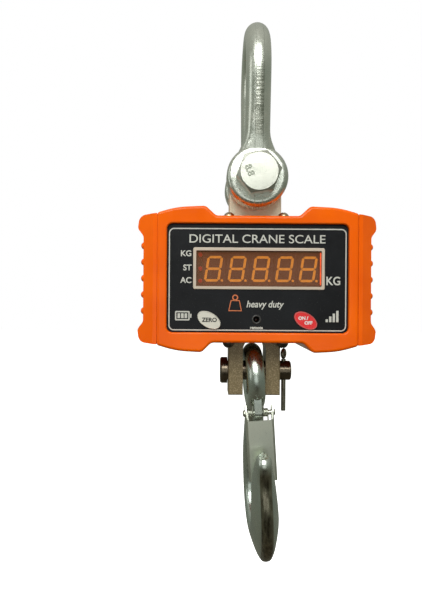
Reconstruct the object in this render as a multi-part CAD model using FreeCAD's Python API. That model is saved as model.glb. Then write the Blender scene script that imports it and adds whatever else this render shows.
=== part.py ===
import FreeCAD, Part
import math
import os

from FreeCAD import Vector

# Crane scale.  Frame: +Z up, X across the display, the display faces -Y, millimetres.
# The origin is the point inside the top of the bow on which the whole scale hangs.

# ---- shackle: a bow in the YZ plane, closed by a bolt along Y
BAR_R = 9.8                    # bow bar
BOW_R = 34.8                   # centre line of the bow's arc
BOW_Z = -(BOW_R - BAR_R)       # centre of the arc, so that the inside top is at Z = 0
BOW_LEAN = 9.0                 # degrees that each leg leans inwards below the arc
BOLT_Z = -110.5                # bolt axis
EAR_R = 24.0
EAR_IN = 15.0                  # inner faces of the two ears
EAR_OUT = 35.0
EAR_ROUND = 4.5
FLARE_R = 34.0                 # concave blend from the leg to the ear
BOLT_R = 10.0
HEX_FLATS = 30.0
HEX_TURN = -9.0                # degrees that the bolt head is turned
HEAD_H = 13.0
NUT_H = 16.0
WASHER_H = 3.0
BOLT_END = 63.0

# ---- load cell block, from the bolt down to the fork that holds the hook
BLOCK_X = 21.0                 # half width
BLOCK_Y = 13.0                 # half depth
BLOCK_END = -284.0
FORK_X = 9.25                  # half width of the slot in the fork
FORK_TOP = -238.0
PIN_Z = -265.2                 # hook pin axis
PIN_R = 8.0
RUN = 0.08                     # radial running clearance of a pin in its bore
MID_Z = -191.0                 # middle height of the housing
GAUGE_R = 12.0
GAUGE_WEB = 5.0                # half thickness of the web that carries the strain gauges

# ---- housing, heights from its middle
FRONT = -40.0
BACK = 40.0
WALL = 3.0
COVER_X = 77.0                 # half width of the covers, where the side grips begin
COVER_TOP = 50.6
LOBE_X = (40.0, 42.5)          # inner ends of the raised lobes, at the top and at the bottom
LOBE_Z = 56.0
NECK_X = (32.0, 35.0)          # half widths of the low middle stretch, at the top and at the bottom
NECK_Z = 48.6
COVER_ROUND = 2.2
PASSAGE_X = 21.5               # half width of the hole that the block passes through
PASSAGE_Y = 13.5
BOSS_X = 62.0
BOSS_Z = 46.0
BOSS_R = 5.0
GRIP_X = 92.6                  # half width over the grips
GRIP_WAIST = 87.8
GRIP_SHOULDER = (91.2, 48.8)   # outer corner of a grip's lobe
GRIP_FACE = 38.6               # grips stand a little behind the covers' faces
RIB_PITCH = 12.6
RIB_R = 2.9
RIB_PROUD = 2.2                # height of a rib over the waist
RIB_END = 31.0
GRIP_SCREW_Y = -10.0
GRIP_SCREW_Z = 27.0

# ---- front panel, heights from the housing's middle
PANEL_X = 69.4
PANEL_LOW = -40.8
PANEL_HIGH = 42.4
PANEL_Y = -37.0                # visible face of the panel
PANEL_T = 1.2
FLOOR_Y = -33.0                # inner face of the front cover behind the panel
BEZEL_LEFT = -49.4
BEZEL_RIGHT = 51.4
BEZEL_LOW = -7.8
BEZEL_HIGH = 24.3
BEZEL_W = 2.35
DIGIT_PITCH = 18.3
DIGIT_FIRST = -33.1            # middle of the first digit
DIGIT_Z = 8.2
LED_X = -44.0
LED_Z = (19.4, 8.5, -1.1)
BUTTON_A = 9.6                 # long and short half axes of the oval buttons
BUTTON_B = 5.7
BUTTON_TILT = 30.0
BUTTON_X = 37.0
BUTTON_Z = -31.3
BUTTON_GAP = 0.3
BUTTON_TRAVEL = 0.8
IR_X = -0.6
IR_Z = -30.6
BOARD_Y = -25.2                # front of the display board
BOARD_T = 1.6
MAIN_Y = 20.0                  # front of the main board
TRAY_X = (-70.3, -31.0)        # inside of the battery tray
CELL_R = 9.4
DOOR_X = (TRAY_X[0] + TRAY_X[1]) / 2

# ---- hook, in the YZ plane below the pin, nose towards -Y
EYE_TUBE = 7.25                # half thickness of the eye's round bar
EYE_R = 21.2                   # centre line of the eye
EYE_GAP = 0.3                  # air between the pin and the eye, which stays open as the hook swings
EYE_Z = PIN_Z + PIN_R + EYE_GAP - (EYE_R - EYE_TUBE)
BOWL_Y = -3.6                  # centre of the bowl
BOWL_Z = -364.0
BOWL_R = 24.0                  # inner radius of the bowl
BOWL_SECTIONS = [              # degrees round the bowl, depth, inner and outer half widths
    (0, 23.0, 12.4, 5.2), (30, 26.5, 13.4, 5.0), (60, 29.5, 13.8, 4.8), (90, 30.6, 13.8, 4.8),
    (120, 30.0, 13.6, 5.4), (150, 28.0, 13.0, 6.4), (180, 26.0, 12.2, 7.4)]
HOOK_LEAN = 3.4                # degrees that the hook leans about Y, as its eye lies loosely on the pin
HOOK_TURN = 2.0                # degrees that its nose is turned about Z
HOOK_SHIFT = 0.25
LATCH_SHIFT = 1.0              # sideways play of the latch on its lug
RIVET_Y = -19.0                # latch pivot
RIVET_Z = -297.0
RIVET_R = 2.0
LUG_X = 2.9
LUG_R = 5.0
LATCH_X = 11.2                 # half width of the latch
LATCH_T = 1.2
LATCH_BEND = 2.0               # outer radius of the bends between its plate and flanges
LATCH_TOP = -302.0
LATCH_FOOT = -349.0
LATCH_TOP_Y = -25.4
LATCH_FOOT_Y = -27.2

AXES = {"x": Vector(1, 0, 0), "y": Vector(0, 1, 0), "z": Vector(0, 0, 1)}
CORNERS = [(-1, -1), (1, -1), (1, 1), (-1, 1)]


# ------------------------------------------------------------------ small tools
def box(x, y, z):
    """Box between the (low, high) pairs x, y and z."""
    return Part.makeBox(x[1] - x[0], y[1] - y[0], z[1] - z[0], Vector(x[0], y[0], z[0]))


def rod(start, axis, length, radius):
    """Cylinder from start along +x, +y or +z."""
    return Part.makeCylinder(radius, length, Vector(*start), AXES[axis])


def tube(start, axis, length, outer, inner):
    """Hollow cylinder."""
    return rod(start, axis, length, outer).cut(rod(start, axis, length, inner))


def fused(shapes):
    """One solid from overlapping shapes."""
    joined = shapes[0].fuse(shapes[1:])
    return joined.removeSplitter()


def rounded_wire(corners, y):
    """Closed outline in the plane at y, from corners (x, z, rounding radius)."""
    arcs = []
    for number, (x, z, radius) in enumerate(corners):
        here = Vector(x, y, z)
        last = corners[number - 1]
        following = corners[(number + 1) % len(corners)]
        back = (Vector(last[0], y, last[1]) - here).normalize()
        ahead = (Vector(following[0], y, following[1]) - here).normalize()
        half = back.getAngle(ahead) / 2
        reach = radius / math.tan(half)
        towards = (back + ahead).normalize()
        middle = here + towards * (radius / math.sin(half) - radius)
        arcs.append((here + back * reach, middle, here + ahead * reach))
    edges = []
    for number, (start, middle, end) in enumerate(arcs):
        following = arcs[(number + 1) % len(arcs)][0]
        if start.distanceToPoint(end) > 1e-6:
            edges.append(Part.Arc(start, middle, end).toShape())
        if end.distanceToPoint(following) > 1e-6:
            edges.append(Part.LineSegment(end, following).toShape())
    return Part.Wire(edges)


def slab(corners, y0, y1):
    """Plate with the outline given by corners, between y0 and y1."""
    return Part.Face(rounded_wire(corners, y0)).extrude(Vector(0, y1 - y0, 0))


def rectangle(x0, x1, z0, z1, radius):
    """Corners of a rounded rectangle, with heights from the housing's middle."""
    return [(x0, MID_Z + z0, radius), (x1, MID_Z + z0, radius),
            (x1, MID_Z + z1, radius), (x0, MID_Z + z1, radius)]


def edges_on(shape, axis, value):
    """Edges that lie wholly in the plane where the coordinate axis equals value."""
    low = axis + "Min"
    high = axis + "Max"
    found = []
    for edge in shape.Edges:
        limits = edge.BoundBox
        if abs(getattr(limits, low) - value) < 1e-3 and abs(getattr(limits, high) - value) < 1e-3:
            found.append(edge)
    return found


def pipe(points, radius, bend):
    """Round lead along straight runs joined by tangent arcs."""
    stops = [Vector(*point) for point in points]
    edges = []
    start = stops[0]
    for number in range(1, len(stops) - 1):
        here = stops[number]
        back = (stops[number - 1] - here).normalize()
        ahead = (stops[number + 1] - here).normalize()
        half = back.getAngle(ahead) / 2
        reach = bend / math.tan(half)
        middle = here + (back + ahead).normalize() * (bend / math.sin(half) - bend)
        edges.append(Part.LineSegment(start, here + back * reach).toShape())
        edges.append(Part.Arc(here + back * reach, middle, here + ahead * reach).toShape())
        start = here + ahead * reach
    edges.append(Part.LineSegment(start, stops[-1]).toShape())
    path = Part.Wire(edges)
    section = Part.Wire([Part.makeCircle(radius, stops[0], stops[1] - stops[0])])
    return path.makePipeShell([section], True, True)


def pan_screw(head_r, head_h, shank_r, length):
    """Domed screw standing on Z = 0 with its shank down, and a cross recess in the head."""
    sphere_r = (head_r ** 2 + head_h ** 2) / (2 * head_h)
    dome = Part.makeSphere(sphere_r, Vector(0, 0, head_h - sphere_r))
    head = dome.common(rod((0, 0, 0), "z", head_h, head_r + 1))
    arm = head_r * 0.5
    slot = head_r * 0.11
    depth = head_h * 0.5
    cross = box((-arm, arm), (-slot, slot), (depth, head_h)).fuse(
        box((-slot, slot), (-arm, arm), (depth, head_h)))
    return fused([head, rod((0, 0, -length), "z", length, shank_r)]).cut(cross)


def aimed(shape, place, direction):
    """Move a shape that stands along +Z to a place, pointing along direction."""
    turn = FreeCAD.Rotation(Vector(0, 0, 1), Vector(*direction))
    moved = shape.copy()
    moved.Placement = FreeCAD.Placement(Vector(*place), turn)
    return moved


def hexagon(flats, height):
    """Hexagonal prism on Z = 0 with its corners chamfered at the top."""
    corner = flats / math.sqrt(3)
    points = [Vector(corner * math.cos(math.radians(60 * n)), corner * math.sin(math.radians(60 * n)), 0)
              for n in range(7)]
    prism = Part.Face(Part.makePolygon(points)).extrude(Vector(0, 0, height))
    rim = flats * 0.47
    cone = Part.makeCone(rim + height * 1.8, rim, height, Vector(0, 0, 0), Vector(0, 0, 1))
    return prism.common(cone)


def section(place, outward, depth, inner, outer, power):
    """Closed smooth section of a forged bar in the plane of X and the outward direction."""
    points = []
    count = 20
    for number in range(count):
        angle = 2 * math.pi * number / count
        across = math.copysign(abs(math.sin(angle)) ** (2 / power), math.sin(angle))
        along = math.copysign(abs(math.cos(angle)) ** (2 / power), math.cos(angle))
        half_width = inner + (outer - inner) * (along + 1) / 2
        points.append(place + Vector(across * half_width, 0, 0) + outward * (along * depth / 2))
    curve = Part.BSplineCurve()
    curve.interpolate(Points=points, PeriodicFlag=True, Parameters=[n / count for n in range(count + 1)])
    return Part.Wire([curve.toShape()])


# ------------------------------------------------------------------ shackle
def flare_half_width(height):
    """Half width of the leg at a height above the bolt axis, following the concave blend."""
    start = math.sqrt((EAR_R + FLARE_R) ** 2 - (BAR_R + FLARE_R) ** 2)
    drop = max(0.0, start - height)
    return BAR_R + FLARE_R - math.sqrt(FLARE_R ** 2 - min(drop, FLARE_R * 0.7) ** 2)


def leg_sections(side):
    """Sections of one leg from below the arc down into the ear, widening with the concave blend."""
    lean = math.radians(BOW_LEAN)
    top = Vector(0, side * BOW_R * math.cos(lean), BOW_Z - BOW_R * math.sin(lean))
    down = Vector(0, -side * math.sin(lean), -math.cos(lean))
    outward = Vector(0, side * math.cos(lean), -math.sin(lean))
    ear_y = (EAR_IN + EAR_OUT) / 2
    reach = (abs(top.y) - ear_y) / math.sin(lean)
    wires = []
    for share in (0.2, 0.42, 0.6, 0.72, 0.86, 1.0):
        place = top + down * (reach * share)
        width = flare_half_width(place.z - BOLT_Z)
        power = 2.0 + max(0.0, share - 0.5) * 2.2
        wires.append(section(place, outward, 2 * BAR_R, width, width, power))
    last = Vector(0, side * ear_y, BOLT_Z + 8)
    wires.append(section(last, Vector(0, side, 0), 2 * BAR_R, 17.0, 17.0, 3.2))
    return wires


def bow_bar():
    """The whole bent bar in one smooth body, from inside one ear over the top to the other."""
    wires = list(reversed(leg_sections(1)))
    steps = 12
    for number in range(steps + 1):
        turn = math.radians(-BOW_LEAN + (180 + 2 * BOW_LEAN) * number / steps)
        outward = Vector(0, math.cos(turn), math.sin(turn))
        place = Vector(0, 0, BOW_Z) + outward * BOW_R
        wires.append(section(place, outward, 2 * BAR_R, BAR_R, BAR_R, 2.0))
    wires += leg_sections(-1)
    return Part.makeLoft(wires, True, False)


def shackle_ear(side):
    """Flat round ear with rounded rims."""
    low = min(side * EAR_IN, side * EAR_OUT)
    ear = rod((0, low, BOLT_Z), "y", EAR_OUT - EAR_IN, EAR_R)
    return ear.makeFillet(EAR_ROUND, edges_on(ear, "Y", low) + edges_on(ear, "Y", low + EAR_OUT - EAR_IN))


def shackle_bow():
    body = fused([bow_bar(), shackle_ear(-1), shackle_ear(1)])
    return body.cut(rod((0, -EAR_OUT - 1, BOLT_Z), "y", 2 * EAR_OUT + 2, BOLT_R + 0.15))


def shackle_bolt():
    """Hexagon bolt from the front, with rolled thread rings at its end and a hole for the cotter."""
    head = aimed(hexagon(HEX_FLATS, HEAD_H), (0, -EAR_OUT, BOLT_Z), (0, -1, 0))
    head.rotate(Vector(0, 0, BOLT_Z), Vector(0, 1, 0), HEX_TURN)
    shank = rod((0, -EAR_OUT, BOLT_Z), "y", BOLT_END + EAR_OUT, BOLT_R)
    shank = shank.makeChamfer(1.5, edges_on(shank, "Y", BOLT_END))
    bolt = fused([head, shank])
    thread_start = EAR_OUT + WASHER_H + NUT_H + 0.6
    for number in range(4):
        groove = thread_start + number * 2.0
        if number != 2:
            bolt = bolt.cut(tube((0, groove, BOLT_Z), "y", 0.9, BOLT_R + 1, BOLT_R - 0.8))
    return bolt.cut(rod((0, thread_start + 4.5, BOLT_Z - 12), "z", 24, 1.9))


def shackle_washer():
    return tube((0, EAR_OUT, BOLT_Z), "y", WASHER_H, 18.5, BOLT_R + 0.3)


def shackle_nut():
    nut = aimed(hexagon(HEX_FLATS, NUT_H), (0, EAR_OUT + WASHER_H, BOLT_Z), (0, 1, 0))
    return nut.cut(rod((0, EAR_OUT, BOLT_Z), "y", NUT_H + WASHER_H + 1, BOLT_R + 0.02))


def bent_cotter(wire_r, leg, eye_r, splay):
    """Split pin along Z: a round eye on top and two legs, of which the ends turn outwards."""
    eye = Part.makeTorus(eye_r, wire_r, Vector(0, 0, eye_r + wire_r), Vector(0, 1, 0))
    legs = rod((0, 0, -leg), "z", leg + wire_r, wire_r * 1.75)
    pieces = [eye, legs]
    for side in (-1, 1):
        toe = Part.makeCylinder(wire_r, splay, Vector(side * wire_r * 0.6, 0, -leg + wire_r),
                                Vector(side, 0, -0.35))
        pieces.append(toe)
    return fused(pieces)


def shackle_cotter():
    """Cotter through the bolt behind the nut."""
    cotter = bent_cotter(1.0, 22.5, 2.6, 7.0)
    cotter.translate(Vector(0, EAR_OUT + WASHER_H + NUT_H + 5.1, BOLT_Z + 10.6))
    return cotter


# ------------------------------------------------------------------ load cell
def load_cell():
    """Solid block: rounded top on the bolt, gauge pockets in the middle, fork for the hook below."""
    body = box((-BLOCK_X, BLOCK_X), (-BLOCK_Y, BLOCK_Y), (BLOCK_END, BOLT_Z))
    crown = rod((0, -BLOCK_Y, BOLT_Z), "y", 2 * BLOCK_Y, BLOCK_X)
    body = fused([body, crown])
    rims = edges_on(body, "Y", -BLOCK_Y) + edges_on(body, "Y", BLOCK_Y)
    body = body.makeFillet(1.2, [edge for edge in rims if edge.BoundBox.ZMax < BLOCK_END + 1
                                 or edge.BoundBox.ZLength > 20])
    arch_z = FORK_TOP - FORK_X
    slot = box((-FORK_X, FORK_X), (-BLOCK_Y - 1, BLOCK_Y + 1), (BLOCK_END - 1, arch_z))
    slot = slot.fuse(rod((0, -BLOCK_Y - 1, arch_z), "y", 2 * BLOCK_Y + 2, FORK_X))
    body = body.cut(slot)
    body = body.cut(rod((0, -BLOCK_Y - 1, BOLT_Z), "y", 2 * BLOCK_Y + 2, BOLT_R + RUN))
    body = body.cut(rod((-BLOCK_X - 1, 0, PIN_Z), "x", 2 * BLOCK_X + 2, PIN_R + RUN))
    for side in (-1, 1):
        pocket_y = min(side * GAUGE_WEB, side * BLOCK_Y)
        body = body.cut(rod((0, pocket_y, MID_Z), "y", BLOCK_Y - GAUGE_WEB, GAUGE_R))
        seat_y = min(side * (BLOCK_Y - 1), side * BLOCK_Y)
        body = body.cut(rod((0, seat_y, MID_Z), "y", 1.0, GAUGE_R + 2))
        for x in (-9, 9):
            for z in (-30, 30):
                hole_y = min(side * 4, side * BLOCK_Y)
                body = body.cut(rod((x, hole_y, MID_Z + z), "y", BLOCK_Y - 4, 2.05))
    lead_hole = rod((0, -7.5, MID_Z - 8), "x", BLOCK_X + 1, 1.8)
    return body.cut(lead_hole)


def strain_gauges():
    """Four foil gauges bonded to the two faces of the web."""
    gauges = []
    for side in (-1, 1):
        y = sorted((side * GAUGE_WEB, side * (GAUGE_WEB + 0.3)))
        for z in (-5.0, 5.0):
            gauges.append(box((-4, 4), y, (MID_Z + z - 3, MID_Z + z + 3)))
    return gauges


def gauge_covers():
    """Thin discs that seal the two gauge pockets."""
    return [rod((0, min(side * (BLOCK_Y - 1), side * BLOCK_Y), MID_Z), "y", 1.0, GAUGE_R + 1.95)
            for side in (-1, 1)]


# ------------------------------------------------------------------ housing
def cover_corners():
    """Outline of the covers, from the low middle stretch out over the lobes to the sides."""
    halves = []
    for side, lobe_x, neck_x in zip((1, -1), LOBE_X, NECK_X):
        corners = [(neck_x, NECK_Z, 5.0), (lobe_x, LOBE_Z, 5.0), (62.0, 55.0, 70.0),
                   (COVER_X, COVER_TOP, 2.6)]
        halves.append([(x, side * z, radius) for x, z, radius in corners])
    right = halves[0] + list(reversed(halves[1]))
    left = [(-x, z, radius) for x, z, radius in reversed(right)]
    return [(x, MID_Z + z, radius) for x, z, radius in right + left]


def cover_shell(outer_y, floor_y):
    """Hollow cover with its mouth at Y = 0 and its outer rim rounded."""
    solid = slab(cover_corners(), outer_y, 0)
    solid = solid.makeFillet(COVER_ROUND, edges_on(solid, "Y", outer_y))
    cavity_face = Part.Face(rounded_wire(cover_corners(), floor_y)).makeOffset2D(-WALL)
    shell = solid.cut(cavity_face.extrude(Vector(0, -floor_y, 0)))
    side = math.copysign(1, outer_y)
    for x, z in CORNERS:
        boss_y = min(0.0, floor_y)
        boss = rod((x * BOSS_X, boss_y, MID_Z + z * BOSS_Z), "y", abs(floor_y), BOSS_R)
        shell = shell.fuse(boss)
    passage_y = sorted((0.0, side * PASSAGE_Y))
    shell = shell.cut(box((-PASSAGE_X, PASSAGE_X), passage_y, (MID_Z - 60, MID_Z + 60)))
    for x, z in CORNERS:
        hole = rod((x * 21.5, side * 22, MID_Z + z * (NECK_Z - 7)), "z", 14, 2.6)
        if z < 0:
            hole.translate(Vector(0, 0, -7))
        shell = shell.cut(hole)
    for x in (-1, 1):
        for z in (-1, 1):
            hole_x = min(x * (COVER_X - WALL - 1), x * (COVER_X + 1))
            shell = shell.cut(rod((hole_x, side * -GRIP_SCREW_Y, MID_Z + z * GRIP_SCREW_Z), "x", 5, 1.8))
    return shell.cut(gasket_ring(0.05))


def gasket_ring(spare):
    """Closed ring in the joint between the covers."""
    outline = Part.Face(rounded_wire(cover_corners(), -0.8))
    outer = outline.makeOffset2D(-0.9 + spare)
    inner = outline.makeOffset2D(-2.1 - spare)
    ring = outer.extrude(Vector(0, 1.6, 0)).cut(inner.extrude(Vector(0, 1.6, 0)))
    return ring.cut(box((-PASSAGE_X - 1.5, PASSAGE_X + 1.5), (-5, 5), (MID_Z - 60, MID_Z + 60)))


def oval(a, b, x, y0, y1):
    """Tilted oval plug along Y for the buttons and their holes."""
    ellipse = Part.Ellipse(Vector(0, 0, 0), a, b).toShape()
    plug = Part.Face(Part.Wire([ellipse])).extrude(Vector(0, 0, y1 - y0))
    plug.rotate(Vector(0, 0, 0), Vector(1, 0, 0), -90)
    plug.rotate(Vector(0, 0, 0), Vector(0, 1, 0), BUTTON_TILT)
    plug.translate(Vector(x, y0, MID_Z + BUTTON_Z))
    return plug


def front_cover():
    shell = cover_shell(FRONT, FLOOR_Y)
    recess = slab(rectangle(-PANEL_X, PANEL_X, PANEL_LOW, PANEL_HIGH, 4.5), FRONT - 1, PANEL_Y + PANEL_T)
    shell = shell.cut(recess)
    rim = [edge for edge in edges_on(shell, "Y", FRONT) if edge.BoundBox.XMax <= PANEL_X + 0.01
           and edge.BoundBox.XMin >= -PANEL_X - 0.01
           and edge.BoundBox.ZMin >= MID_Z + PANEL_LOW - 0.01
           and edge.BoundBox.ZMax <= MID_Z + PANEL_HIGH + 0.01]
    shell = shell.makeFillet(1.3, rim)
    window = slab(rectangle(BEZEL_LEFT, BEZEL_RIGHT, BEZEL_LOW, BEZEL_HIGH, 1.6), PANEL_Y, FLOOR_Y + 1)
    shell = shell.cut(window)
    for x in (-BUTTON_X, BUTTON_X):
        shell = shell.cut(oval(BUTTON_A + 1.4, BUTTON_B + 1.4, x, PANEL_Y, FLOOR_Y + 1))
    shell = shell.cut(rod((IR_X, PANEL_Y, MID_Z + IR_Z), "y", 6, 2.6))
    for x, z in board_posts():
        post = tube((x, FLOOR_Y - 0.2, MID_Z + z), "y", BOARD_Y - FLOOR_Y + 0.2, 3.0, 1.1)
        shell = shell.fuse(post)
    for x, z in CORNERS:
        hole = rod((x * BOSS_X, -14, MID_Z + z * BOSS_Z), "y", 14, 1.6)
        shell = shell.cut(hole)
    return shell.removeSplitter()


def rear_cover():
    shell = cover_shell(BACK, BACK - WALL)
    for x, z in CORNERS:
        place = (x * BOSS_X, 0, MID_Z + z * BOSS_Z)
        shell = shell.cut(rod(place, "y", BACK, 2.1))
        shell = shell.cut(rod((place[0], BACK - 3.5, place[2]), "y", 4, 4.2))
    door_hole = slab(rectangle(TRAY_X[0], TRAY_X[1], -36, 36, 3.0), BACK - WALL - 1, BACK + 1)
    shell = shell.cut(door_hole)
    shell = shell.cut(rod((50, BACK - WALL - 1, MID_Z - 30), "y", WALL + 2, 6.05))
    for x, z in main_posts():
        post = tube((x, MAIN_Y + BOARD_T, MID_Z + z), "y", BACK - WALL - MAIN_Y - BOARD_T + 0.2, 3.2, 1.1)
        shell = shell.fuse(post)
    return shell.removeSplitter()


def cover_gasket():
    return gasket_ring(0.0)


def cover_screws():
    """Four screws that pull the rear cover onto the front cover's bosses."""
    screw = pan_screw(3.8, 2.6, 1.55, 47.0)
    return [aimed(screw, (x * BOSS_X, BACK - 3.5, MID_Z + z * BOSS_Z), (0, 1, 0)) for x, z in CORNERS]


def grip(side):
    """Side grip: lobes above and below a waist with five finger ribs, sloped towards the outside."""
    outline = [(COVER_X, COVER_TOP - 0.4, 0.5), (*GRIP_SHOULDER, 6.0), (GRIP_X, 39.0, 5.0),
               (GRIP_WAIST, 33.0, 5.0)]
    outline += [(x, -z, radius) for x, z, radius in reversed(outline)]
    profile = slab([(x, MID_Z + z, radius) for x, z, radius in outline], -GRIP_FACE, GRIP_FACE)
    top_view = [Vector(COVER_X, -GRIP_FACE, 0), Vector(80.0, -GRIP_FACE, 0), Vector(GRIP_X + 1, -31.0, 0),
                Vector(GRIP_X + 1, 31.0, 0), Vector(80.0, GRIP_FACE, 0), Vector(COVER_X, GRIP_FACE, 0)]
    plan = Part.Face(Part.makePolygon(top_view + top_view[:1])).extrude(Vector(0, 0, 120))
    plan.translate(Vector(0, 0, MID_Z - 60))
    body = profile.common(plan)
    for number in range(-2, 3):
        z = MID_Z + 0.5 + number * RIB_PITCH
        x = GRIP_WAIST + RIB_PROUD - RIB_R
        rib = rod((x, -RIB_END, z), "y", 2 * RIB_END, RIB_R)
        ends = [Part.makeSphere(RIB_R, Vector(x, y, z)) for y in (-RIB_END, RIB_END)]
        body = body.fuse([rib] + ends)
    body = body.cut(box((COVER_X - 1, COVER_X + 4.5), (-28, 28), (MID_Z - 20, MID_Z + 20)))
    for z in (-1, 1):
        for y in (GRIP_SCREW_Y, -GRIP_SCREW_Y):
            body = body.cut(rod((COVER_X - 1, y, MID_Z + z * GRIP_SCREW_Z), "x", 7.5, 1.5))
    if side < 0:
        body = body.mirror(Vector(0, 0, 0), Vector(1, 0, 0))
    return body.removeSplitter()


def grip_screws():
    """Eight screws from inside the covers into the grips."""
    screw = pan_screw(3.0, 1.8, 1.45, 9.0)
    screws = []
    for side in (-1, 1):
        for z in (-1, 1):
            for y in (GRIP_SCREW_Y, -GRIP_SCREW_Y):
                place = (side * (COVER_X - WALL), y, MID_Z + z * GRIP_SCREW_Z)
                screws.append(aimed(screw, place, (-side, 0, 0)))
    return screws


def block_seals():
    """Rubber plates around the block, inside the top and bottom walls."""
    seals = []
    for side in (-1, 1):
        z = sorted((MID_Z + side * (NECK_Z - WALL), MID_Z + side * (NECK_Z - 2 * WALL)))
        seal = box((-30, 30), (-27, 27), z)
        seal = seal.cut(box((-BLOCK_X, BLOCK_X), (-BLOCK_Y, BLOCK_Y), z))
        for x, y in CORNERS:
            seal = seal.cut(rod((x * 21.5, y * 22, z[0]), "z", WALL, 2.6))
        seals.append(seal)
    return seals


def bracket(side):
    """Channel screwed to the block's front or back face, with a flange under each wall."""
    top = NECK_Z - 2 * WALL
    inner = BLOCK_Y
    web = box((-16, 16), (inner, inner + 2), (MID_Z - top, MID_Z + top))
    channel = [web]
    for z in (-1, 1):
        flange_z = sorted((MID_Z + z * top, MID_Z + z * (top - 2)))
        channel.append(box((-30, 30), (inner, 27), flange_z))
    shape = fused(channel)
    for x in (-1, 1):
        shape = shape.cut(rod((x * 21.5, 22, MID_Z - 60), "z", 120, 2.05))
        for z in (-30, 30):
            shape = shape.cut(rod((x * 9, inner - 1, MID_Z + z), "y", 4, 2.05))
    if side < 0:
        shape = shape.mirror(Vector(0, 0, 0), Vector(0, 1, 0))
    return shape


def bracket_screws():
    """Eight screws that hold the two brackets on the block."""
    screw = pan_screw(3.6, 2.2, 2.0, 10.0)
    screws = []
    for side in (-1, 1):
        for x in (-9, 9):
            for z in (-30, 30):
                screws.append(aimed(screw, (x, side * (BLOCK_Y + 2), MID_Z + z), (0, side, 0)))
    return screws


def wall_screws(side):
    """Four domed screws through the top or bottom wall into the brackets."""
    screw = pan_screw(4.6, 4.3, 2.0, 10.0)
    height = MID_Z + side * (NECK_Z + 1.0)
    return [aimed(screw, (x * 21.5, y * 22, height), (0, 0, side)) for x, y in CORNERS]


def wall_washers():
    """Plain washers under the eight wall screws."""
    washers = []
    for side in (-1, 1):
        low = min(MID_Z + side * NECK_Z, MID_Z + side * (NECK_Z + 1.0))
        for x, y in CORNERS:
            washers.append(tube((x * 21.5, y * 22, low), "z", 1.0, 5.0, 2.1))
    return washers


# ------------------------------------------------------------------ front panel and display
def face_panel():
    """Thin printed panel in the recess, with holes for the display, the buttons and the receiver."""
    edge = PANEL_X - 0.15
    panel = slab(rectangle(-edge, edge, PANEL_LOW + 0.15, PANEL_HIGH - 0.15, 4.4), PANEL_Y, PANEL_Y + PANEL_T)
    panel = panel.cut(slab(rectangle(BEZEL_LEFT, BEZEL_RIGHT, BEZEL_LOW, BEZEL_HIGH, 1.6),
                           PANEL_Y - 1, PANEL_Y + PANEL_T + 1))
    for x in (-BUTTON_X, BUTTON_X):
        panel = panel.cut(oval(BUTTON_A + BUTTON_GAP, BUTTON_B + BUTTON_GAP, x, PANEL_Y - 1,
                               PANEL_Y + PANEL_T + 1))
    return panel.cut(rod((IR_X, PANEL_Y - 1, MID_Z + IR_Z), "y", PANEL_T + 2, 2.3))


def display_bezel():
    outer = slab(rectangle(BEZEL_LEFT + 0.05, BEZEL_RIGHT - 0.05, BEZEL_LOW + 0.05, BEZEL_HIGH - 0.05, 1.6),
                 PANEL_Y - 0.9, FLOOR_Y)
    outer = outer.makeFillet(0.5, edges_on(outer, "Y", PANEL_Y - 0.9))
    inner = slab(rectangle(BEZEL_LEFT + BEZEL_W, BEZEL_RIGHT - BEZEL_W, BEZEL_LOW + BEZEL_W,
                           BEZEL_HIGH - BEZEL_W, 0.8), PANEL_Y - 2, FLOOR_Y + 1)
    return outer.cut(inner)


def display_window():
    inset = BEZEL_W + 0.05
    corners = rectangle(BEZEL_LEFT + inset, BEZEL_RIGHT - inset, BEZEL_LOW + inset, BEZEL_HIGH - inset, 0.8)
    return slab(corners, PANEL_Y + 0.2, PANEL_Y + 2.2)


def digit_modules():
    """Five display blocks side by side behind the window."""
    modules = []
    for number in range(5):
        x = DIGIT_FIRST + number * DIGIT_PITCH
        z = MID_Z + DIGIT_Z
        module = box((x - 9.0, x + 9.0), (FLOOR_Y + 0.3, BOARD_Y), (z - 12.4, z + 12.4))
        modules.append(module.makeFillet(0.4, edges_on(module, "Y", FLOOR_Y + 0.3)))
    return modules


def indicator_leds():
    """Three round lamps with domed ends."""
    lamps = []
    for z in LED_Z:
        body = rod((LED_X, FLOOR_Y + 1.6, MID_Z + z), "y", BOARD_Y - FLOOR_Y - 1.6, 1.5)
        lamps.append(fused([body, Part.makeSphere(1.5, Vector(LED_X, FLOOR_Y + 1.6, MID_Z + z))]))
    return lamps


def board_posts():
    """Places of the posts that carry the display board."""
    return [(-56, -35), (56, -35), (-56, 29), (56, 29)]


def main_posts():
    """Places of the posts that carry the main board."""
    return [(34, -31), (68, -31), (34, 31), (68, 31)]


def display_board():
    board = slab(rectangle(-60, 60, -38.5, 33, 2.0), BOARD_Y, BOARD_Y + BOARD_T)
    for x, z in board_posts():
        board = board.cut(rod((x, BOARD_Y - 1, MID_Z + z), "y", BOARD_T + 2, 1.3))
    return board


def display_components():
    """Driver chips and a connector on the back of the display board."""
    y = BOARD_Y + BOARD_T
    chips = [box((-34, -20), (y, y + 2.2), (MID_Z - 4, MID_Z + 6)),
             box((24, 34), (y, y + 2.2), (MID_Z - 3, MID_Z + 5)),
             box((41, 49), (y, y + 5.0), (MID_Z - 5, MID_Z + 5))]
    return chips


def button_switches():
    """Two push switches between the buttons and the display board."""
    switches = []
    for x in (-BUTTON_X, BUTTON_X):
        z = MID_Z + BUTTON_Z
        base = box((x - 3, x + 3), (BOARD_Y - 3.4, BOARD_Y), (z - 3, z + 3))
        stem_y = FLOOR_Y - 0.4 + BUTTON_TRAVEL + 0.15
        stem = rod((x, stem_y, z), "y", BOARD_Y - 3.4 - stem_y, 1.7)
        switches.append(fused([base, stem]))
    return switches


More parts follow.
